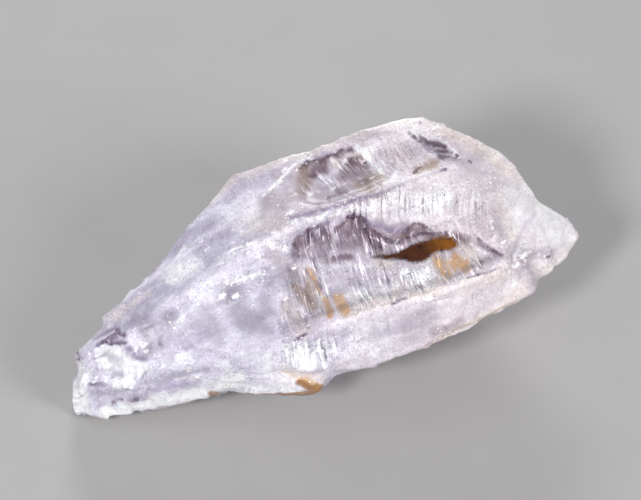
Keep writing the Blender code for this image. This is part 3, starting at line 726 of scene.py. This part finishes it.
def buildCamera():
    right, up, back = viewAxes()
    wide, high = view["pixels"]
    scale = mm / view["pixelsPerMm"]
    aside = (wide / 2 - view["originPixel"][0]) * scale
    above = (view["originPixel"][1] - high / 2) * scale
    target = right * aside + up * above + back * (view["bodyHeight"] * mm * back.z)
    lens = bpy.data.cameras.new("camera")
    lens.lens, lens.sensor_width = view["lens"], view["sensor"]
    lens.clip_start, lens.clip_end = view["clip"]
    camera = addObject("camera", lens)
    camera.location = target + back * (wide * scale * view["lens"] / view["sensor"])
    camera.rotation_mode = "QUATERNION"
    camera.rotation_quaternion = (-back).to_track_quat("-Z", "Y")
    bpy.context.scene.camera = camera


class Wire:
    # an output socket; sums on it add Math nodes, or Vector Math nodes on vectors
    def __init__(self, paint, socket):
        self.paint, self.socket = paint, socket

    def __add__(self, other):
        return self.paint.sum("ADD", self, other)

    def __sub__(self, other):
        return self.paint.sum("SUBTRACT", self, other)

    def __rsub__(self, other):
        return self.paint.sum("SUBTRACT", other, self)

    def __mul__(self, other):
        return self.paint.sum("MULTIPLY", self, other)

    def __truediv__(self, other):
        return self.paint.sum("DIVIDE", self, other)

    __radd__, __rmul__ = __add__, __mul__


class Paint:
    # one material's nodes
    def __init__(self, name):
        self.material = bpy.data.materials.new(name)
        self.material.use_nodes = True
        self.tree = self.material.node_tree
        self.tree.nodes.clear()
        self.where = self.put("TexCoord", outlet="Object") / (mm, mm, mm)

    def put(self, kind, settings=None, sockets=None, outlet=0):
        node = self.tree.nodes.new("ShaderNode" + kind)
        for name, value in (settings or {}).items():
            setattr(node, name, value)
        for name, value in (sockets or {}).items():
            if isinstance(value, Wire):
                self.tree.links.new(value.socket, node.inputs[name])
            else:
                node.inputs[name].default_value = value
        return Wire(self, node.outputs[outlet]) if outlet is not None else node

    def sum(self, operation, first, second):
        sides = [first, second]
        wires = [side.socket.type for side in sides if isinstance(side, Wire)]
        kind = "Math"
        if "VECTOR" in wires or "RGBA" in wires:
            kind = "VectorMath"
            sides = [(side,) * 3 if isinstance(side, (int, float)) else side for side in sides]
        return self.put(kind, {"operation": operation}, {0: sides[0], 1: sides[1]})

    def most(self, first, *others):
        for other in others:
            first = self.sum("MAXIMUM", first, other)
        return first

    def field(self, name):
        return self.put("Attribute", {"attribute_name": name}, outlet="Fac")

    def cloud(self, size, detail, rough=0.5, where=None):
        sockets = {"Vector": where or self.where, "Scale": 1.0 / size, "Detail": detail, "Roughness": rough}
        return self.put("TexNoise", {}, sockets)

    def ramp(self, value, low, high, start=0.0, end=1.0):
        sockets = {"Value": value, "From Min": low, "From Max": high, "To Min": start, "To Max": end}
        return self.put("MapRange", {"interpolation_type": "SMOOTHSTEP"}, sockets)

    def mix(self, share, first, second):
        first, second = (side + (1.0,) if isinstance(side, tuple) else side for side in (first, second))
        return self.put("Mix", {"data_type": "RGBA"}, {0: share, 6: first, 7: second}, 2)

    def layered(self, colour, *layers):
        for share, over in layers:
            colour = self.mix(share, colour, over)
        return colour


# the crystal's paint; where two colours are given, a mask leads from the first to the second
amethyst = {
    "ior": 1.544,
    "clearSpecular": 0.12,
    "scatterShare": 0.5,
    "scatterReach": (1.0, 0.8, 1.1),
    "scatterScale": 0.4,  # mm
    "absorption": {"Color": (0.80, 0.70, 0.88, 1.0), "Density": 40.0},
    "reliefStrength": 0.8,
    "growthLines": (2.4, 0.50, 0.35),  # how often they change along each axis, per mm
    "hairLines": (6.5, 0.80, 0.50),
    "tallLines": (4.2, 0.20, 0.16),
    "upperLean": 0.136,  # of the growth lines in the windows and on the upright patch
    "lowerLean": -0.105,
    "uprightLean": 0.40,
    "tallLean": 0.4244,  # makes the tall lines stand upright in the photograph's frame
    "pivot": -0.6,  # mm, where lines on the upright patch meet those below
    "shade": ((0.55, 0.52, 0.65), (0.69, 0.62, 0.66)),  # at the left and at the right
    "shine": ((0.84, 0.82, 0.93), (0.92, 0.86, 0.89)),
    "frosted": {
        "clearing": (0.76, 0.70, 0.82),
        "grey": (0.46, 0.42, 0.53),
        # warm beige, also painted rim light
        "creamAndPaintedLight": (0.84, 0.75, 0.68),
        "mauve": (0.45, 0.38, 0.42),
        # painted shade in grooves
        "paintedGrooveShade": (0.43, 0.36, 0.47),
        "edge": (0.92, 0.91, 0.95),
        "frosty": (0.90, 0.89, 0.96),
        "dusk": (0.46, 0.35, 0.50),
        # white frost, also used as painted light
        "whiteAndPaintedLight": (0.94, 0.96, 1.0),
        # violet, also painted shade
        "violetAndPaintedShade": ((0.25, 0.20, 0.33), (0.37, 0.235, 0.275)),  # outside and inside the windows
        "umber": (0.36, 0.26, 0.17),
        "rust": (0.62, 0.35, 0.10),
        "fringe": (0.30, 0.14, 0.03),
        # painted shade and cracks
        "paintedShadeAndCracks": (0.13, 0.08, 0.12),
        "scratch": (0.36, 0.31, 0.44),
        "pin": (0.28, 0.21, 0.29),
        # white of the painted glints
        "glint": (1.0, 1.0, 1.0),
    },
    "clear": {
        "clearing": (0.84, 0.80, 0.90),
        # violet, also painted shade
        "violetAndPaintedShade": ((0.50, 0.30, 0.30), (0.37, 0.26, 0.40)),  # in the veils' thin and thick places
        "hollow": (0.46, 0.43, 0.52),
        "umber": (0.45, 0.32, 0.18),
        # painted shade and cracks
        "rust": (0.78, 0.50, 0.20),
        "paintedShadeAndCracks": (0.16, 0.10, 0.14),
        "dusk": (0.60, 0.46, 0.66),
        "overBlade": (0.95, 0.78, 0.45),
    },
}


def amethystPaint():
    paint = Paint("amethyst")
    where = paint.where
    x, y, z = (paint.put("SeparateXYZ", {}, {0: where}, axis) for axis in range(3))
    grit = paint.cloud(0.35, 4.0, 0.62) - 0.5
    grain = paint.cloud(0.14, 2.0, 0.5) - 0.5
    wisp = paint.cloud(1.3, 3.0, 0.6) - 0.5
    broad = paint.cloud(4.5, 3.0, 0.55) - 0.5
    veil = paint.cloud(0.9, 3.0, 0.55, where * (0.3, 1.0, 1.0)) - 0.5
    soft = paint.cloud(2.4, 2.0, 0.45, where * (0.5, 1.0, 1.0)) - 0.5
    spark = paint.cloud(0.26, 1.0, 0.4) - 0.5
    calm, hidden, lined, ridge, upright = (
        paint.field(name) for name in ("calm", "hidden", "lined", "ridge", "upright")
    )
    rough = 1.0 - calm * 0.35

    # the windows, where the crystal is clearest
    lower = paint.ramp(paint.field("inLower") + grit * 0.5, -0.04, 0.14)
    upper = paint.ramp(paint.field("inUpper") + grit * 0.8, -0.05, 0.25)
    hollow = paint.ramp(paint.field("inHollow") + grit * 0.5, -0.05, 0.2)
    clearing = paint.most(lower, upper, hollow)

    def lineCloud(along, often, detail):
        # noise drawn out into lines square to the crystal's length
        place = paint.put("CombineXYZ", {}, {0: along * often[0], 1: y * often[1], 2: z * often[2]})
        return paint.cloud(1.0, detail, 0.6, place) - 0.5

    # growth lines: broad ones, hairs as thin as scratches, and tall ones on the upright patch
    leaned = (y - amethyst["pivot"]) * (upright * (1.0 - lower) * amethyst["uprightLean"])
    along = x + y * (upper * amethyst["upperLean"] + lower * amethyst["lowerLean"]) - leaned
    lines = lineCloud(along, amethyst["growthLines"], 3.0)
    hairs = lineCloud(along, amethyst["hairLines"], 2.0)
    tall = lineCloud(x - y * amethyst["tallLean"], amethyst["tallLines"], 2.5)
    crisp = paint.ramp(hairs, 0.09, 0.14) * 0.26 - paint.ramp(hairs, -0.10, -0.15) * 0.32
    tallCrisp = (paint.ramp(tall, 0.04, 0.12) * 0.30 - paint.ramp(tall, -0.08, -0.14) * 0.42) * upright
    streak = (lines * 1.2 + hairs * 1.2 + crisp) * (1.0 - upright * 0.55) * lined
    streak = streak + tallCrisp * (lined + upright * 0.3)
    pale = paint.ramp(streak, 0.12, 0.40)
    mottle = grit + grain * 0.7

    def mark(name, low, high, ragged, streaked=0.0):
        # strokes of one kind, with edges broken up by the grain and the growth lines
        value = paint.field(name) * (1.0 + mottle * ragged + streak * streaked)
        return paint.ramp(value, low, high)

    # violet of the windows, with painted shade lines
    violetAndPaintedShade = mark("violetAndPaintedShade", 0.10, 0.90, 1.2, -0.9)
    # painted shade in creases and recesses, with cracks and specks
    paintedShadeAndCracks = mark("paintedShadeAndCracks", 0.25, 0.75, 3.0, -1.0)
    grey = mark("grey", 0.05, 0.90, 0.6)
    # warm beige, partly painted rim light and painted light along the sill
    creamAndPaintedLight = mark("creamAndPaintedLight", 0.05, 0.95, 0.5)
    mauve = mark("mauve", 0.05, 0.90, 0.8)
    glint = mark("glint", 0.40, 0.85, 2.8)
    rust = mark("rust", 0.20, 0.85, 1.8, 2.4)
    umber = mark("umber", 0.20, 0.85, 1.0, -1.6)
    fringe = mark("fringe", 0.15, 0.80, 1.2)
    # the whitest broken face and the white marks: white frost with painted light and painted highlights
    facet = paint.ramp(paint.field("inFacet") + grit * 0.9 + wisp * 0.8, -0.05, 0.30)
    whiteAndPaintedLight = paint.most(mark("whiteAndPaintedLight", 0.20, 0.90, 1.1, 0.9), facet * (0.9 + grit) * (1.0 - grey * 0.8))
    overBlade = paint.ramp(paint.field("overBlade") + grit * 0.5 + grain * 0.3, -0.20, 0.20)

    # lighter edges and painted shade in grooves, then painted glints as white flecks, dark pinholes and
    # scratches
    edge = paint.ramp(ridge + grit * 2.0, 0.6, 2.2)
    # painted shade in grooves
    paintedGrooveShade = paint.ramp(ridge + grit * 1.5, -0.5, -2.2)
    # painted glints: white specks, gathered where the sparkle strokes lie
    sparkle = paint.field("sparkle")
    paintedGlintSpeck = paint.ramp(spark + grain * 0.5 + sparkle * 0.165 - calm * 0.02, 0.250, 0.280)
    dots = grain * 0.8 + grit * 0.8 - wisp * 0.4
    pin = paint.ramp(dots - (paint.field("violetAndPaintedShade") + sparkle) * 0.05, -0.225, -0.265)
    scratch = paint.ramp(hairs, -0.07, -0.15) * lined

    # the hidden sides, where the photograph gives no marks
    dusk = paint.ramp(broad + soft * 0.6 + veil * 0.4, -0.02, 0.20) * hidden
    frosty = paint.ramp(broad - wisp * 0.5, -0.03, -0.14) * hidden

    # frosted parts
    drift = paint.ramp(x + wisp * 6.0, -8.0, 12.0)
    shade = paint.mix(drift, *amethyst["shade"])
    shine = paint.mix(drift, *amethyst["shine"])
    light = paint.ramp(broad * 0.7 + soft * 0.9 + veil * 0.5 * rough, -0.20, 0.20)
    bodyColour = paint.mix(light, shade, shine)
    tint = amethyst["frosted"]
    frostColour = paint.layered(
        bodyColour,
        (clearing * 0.6, tint["clearing"]),
        (paint.most(grey * 0.55, hollow * 0.3), tint["grey"]),
        (creamAndPaintedLight * 0.65, tint["creamAndPaintedLight"]),
        (mauve * 0.75, tint["mauve"]),
        (paintedGrooveShade * (1.0 - clearing) * 0.4, tint["paintedGrooveShade"]),
        (edge * 0.5, tint["edge"]),
        (frosty * 0.5, tint["frosty"]),
        (dusk * 0.6, tint["dusk"]),
        (whiteAndPaintedLight * 0.9, tint["whiteAndPaintedLight"]),
        (violetAndPaintedShade * 0.80, paint.mix(clearing, *tint["violetAndPaintedShade"])),
        (umber * 0.7, tint["umber"]),
        (rust * 0.75, tint["rust"]),
        (fringe * 0.85, tint["fringe"]),
        (paintedShadeAndCracks * 0.75, tint["paintedShadeAndCracks"]),
    )
    tone = 1.0 + streak * (1.0 + violetAndPaintedShade * 1.6) * (1.0 - upper * 0.7)
    tone = tone + (grit * 0.75 + grain * 1.2) * rough * (1.0 - whiteAndPaintedLight * 0.5)
    frostColour = paint.layered(
        frostColour * tone,
        (scratch * 0.45, tint["scratch"]),
        (pin * 0.45, tint["pin"]),
        (paint.most(paintedGlintSpeck * 0.85, glint * 0.75), tint["glint"]),
    )

    # clear parts
    glass = amethyst["clear"]
    clearColour = paint.layered(
        bodyColour,
        (clearing, glass["clearing"]),
        (violetAndPaintedShade, paint.mix(paint.ramp(veil, -0.2, 0.2), *glass["violetAndPaintedShade"])),
        (hollow * 0.6, glass["hollow"]),
        (umber * 0.9, glass["umber"]),
        (rust * 0.8, glass["rust"]),
        (paintedShadeAndCracks * 0.8, glass["paintedShadeAndCracks"]),
        (dusk, glass["dusk"]),
        (overBlade, glass["overBlade"]),
    )

    # how much of the frosted part shows
    milk = 0.84 + veil * 0.5 - grey * 0.30 - dusk * 0.25
    milk = milk * (1.0 - clearing * 0.20) + clearing * pale * 0.3
    milk = paint.most(milk, whiteAndPaintedLight * 0.95, creamAndPaintedLight * 0.7, rust * 0.6, edge * 0.8, paintedGlintSpeck * 0.9, glint)
    milk = milk * (1.0 - violetAndPaintedShade * clearing * 0.55) * (1.0 - overBlade)

    heights = (grit * 0.028 + grain * 0.014) * rough + (lines * 0.09 + hairs * 0.05) * (lined + 0.03)
    bump = paint.put("Bump", {}, {
        "Strength": amethyst["reliefStrength"], "Distance": mm, "Height": heights * (1.0 - overBlade * 0.9),
    })
    clear = paint.put("BsdfPrincipled", {}, {
        "Base Color": clearColour,
        "Roughness": 0.30 - lower * 0.16 + upper * 0.08 - overBlade * 0.09,
        "IOR": amethyst["ior"],
        "Specular IOR Level": amethyst["clearSpecular"],
        "Transmission Weight": 1.0,
        "Normal": bump,
    })
    frost = paint.put("BsdfPrincipled", {}, {
        "Base Color": frostColour,
        "Roughness": 0.45 - wisp * 0.4,
        "IOR": amethyst["ior"],
        "Subsurface Weight": amethyst["scatterShare"],
        "Subsurface Radius": amethyst["scatterReach"],
        "Subsurface Scale": amethyst["scatterScale"] * mm,
        "Normal": bump,
    })
    both = paint.put("MixShader", {}, {0: milk, 1: clear, 2: frost})
    depth = paint.put("VolumeAbsorption", {}, amethyst["absorption"])
    paint.put("OutputMaterial", {}, {"Surface": both, "Volume": depth}, None)
    return paint.material


def bladePaint():
    paint = Paint("ironBlade")
    tint = blade["paint"]
    east = paint.put("SeparateXYZ", {}, {0: paint.where}, 0)
    mottle = paint.cloud(0.5, 4.0, 0.65)
    amber = paint.ramp(east + (mottle - 0.5) * 2.0, tint["amberFrom"], tint["amberTo"])
    colour = paint.layered(
        paint.mix(amber, tint["umber"], tint["amber"]),
        (paint.ramp(mottle, 0.54, 0.66), tint["specks"]),
    )
    bump = paint.put("Bump", {}, {"Strength": 0.5, "Distance": mm, "Height": mottle * 0.05})
    ore = paint.put("BsdfPrincipled", {}, {
        "Base Color": colour,
        "Roughness": paint.ramp(mottle, 0.3, 0.7, *tint["roughness"]),
        "Specular IOR Level": tint["specular"],
        "Normal": bump,
    })
    paint.put("OutputMaterial", {}, {"Surface": ore}, None)
    return paint.material


# the pale floor
ground = {
    "half": 0.6,  # metres
    "drop": 0.02,  # mm below the rest face
    "tints": ((0.36, 0.355, 0.35), (0.39, 0.385, 0.38)),
    "roughness": 0.6,
}


def floorPaint():
    paint = Paint("floor")
    tone = paint.mix(paint.cloud(6.0, 3.0), *ground["tints"])
    plain = paint.put("BsdfPrincipled", {}, {"Base Color": tone, "Roughness": ground["roughness"]})
    paint.put("OutputMaterial", {}, {"Surface": plain}, None)
    return paint.material


def dress(piece, material):
    piece.data.materials.clear()
    piece.data.materials.append(material)


def addFloor():
    mesh = bpy.data.meshes.new("floor")
    half = ground["half"]
    corners = [(-half, -half, 0), (half, -half, 0), (half, half, 0), (-half, half, 0)]
    mesh.from_pydata(corners, [], [(0, 1, 2, 3)])
    floor = addObject("floor", mesh)
    floor.location.z = -ground["drop"] * mm
    dress(floor, floorPaint())


# soft round lamps: azimuth and elevation in degrees, distance and size in metres, watts, colour
studio = {
    "lamps": {
        "key": (-60.0, 40.0, 0.32, 0.08, 0.72, (1.0, 0.985, 0.97)),
        "fill": (40.0, 30.0, 0.40, 0.16, 0.88, (1.0, 0.98, 0.98)),
        "rim": (160.0, 18.0, 0.36, 0.12, 0.74, (0.97, 0.97, 1.0)),
    },
    "sky": (0.93, 0.94, 1.0, 1.0),
    "skyStrength": 0.35,
}


def addLamp(name, azimuth, elevation, distance, size, power, colour):
    away = aimFrom(azimuth, elevation)
    lamp = bpy.data.lights.new(name, "AREA")
    lamp.shape, lamp.size, lamp.energy, lamp.color = "DISK", size, power, colour
    holder = addObject(name, lamp)
    holder.location = away * distance
    holder.rotation_mode = "QUATERNION"
    holder.rotation_quaternion = away.to_track_quat("Z", "Y")


def lightStudio():
    for name, settings in studio["lamps"].items():
        addLamp(name, *settings)
    world = bpy.data.worlds.new("studio")
    world.use_nodes = True
    sky = world.node_tree.nodes["Background"]
    sky.inputs["Color"].default_value = studio["sky"]
    sky.inputs["Strength"].default_value = studio["skyStrength"]
    bpy.context.scene.world = world
    bpy.context.scene.view_settings.view_transform = "Standard"


dress(buildSkin(), amethystPaint())
print("crystal dressed")
dress(buildBlade(), bladePaint())
print("blade dressed")
addFloor()
lightStudio()
buildCamera()
print("studio ready")
